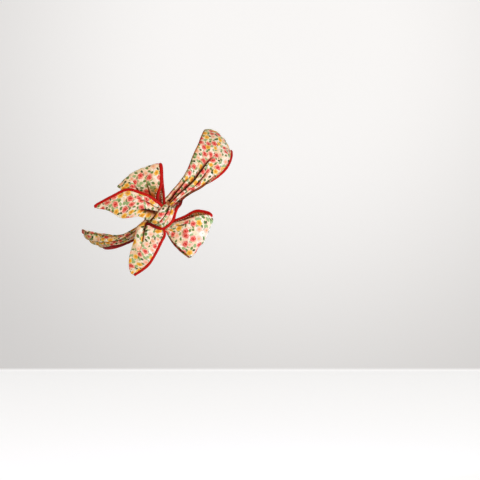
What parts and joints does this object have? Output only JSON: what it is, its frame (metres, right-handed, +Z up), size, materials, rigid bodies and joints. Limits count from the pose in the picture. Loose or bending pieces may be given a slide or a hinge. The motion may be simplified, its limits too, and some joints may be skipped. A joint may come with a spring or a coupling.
{
  "type": "pet cooling scarf",
  "caption": "Tied neck scarf for a pet: a strip of double floral cotton with red piping on one edge, gathered into a side knot with a bow of loops and pointed tails.",
  "frame": {"origin": "middle of the neck opening, where the neck passes through the band", "axes": "+Z up and +X towards the shoulder with the animal sitting and facing -X; the bow is on the -Y side"},
  "size_m": [0.1487, 0.1296, 0.1415],
  "materials": {
    "floral_cotton": "matt plain-weave cotton with a small floral print",
    "red_piping": "soft satin cotton piping"
  },
  "bodies": {
    "root": {"knot": "floral_cotton", "knot_piping": "red_piping", "neck_band": "floral_cotton", "neck_band_piping": "red_piping", "loop_upper": "floral_cotton", "loop_upper_piping": "red_piping", "loop_right": "floral_cotton", "loop_right_piping": "red_piping", "tail_left": "floral_cotton", "tail_left_piping": "red_piping", "tail_lower": "floral_cotton", "tail_lower_piping": "red_piping"}
  },
  "joints": []
}
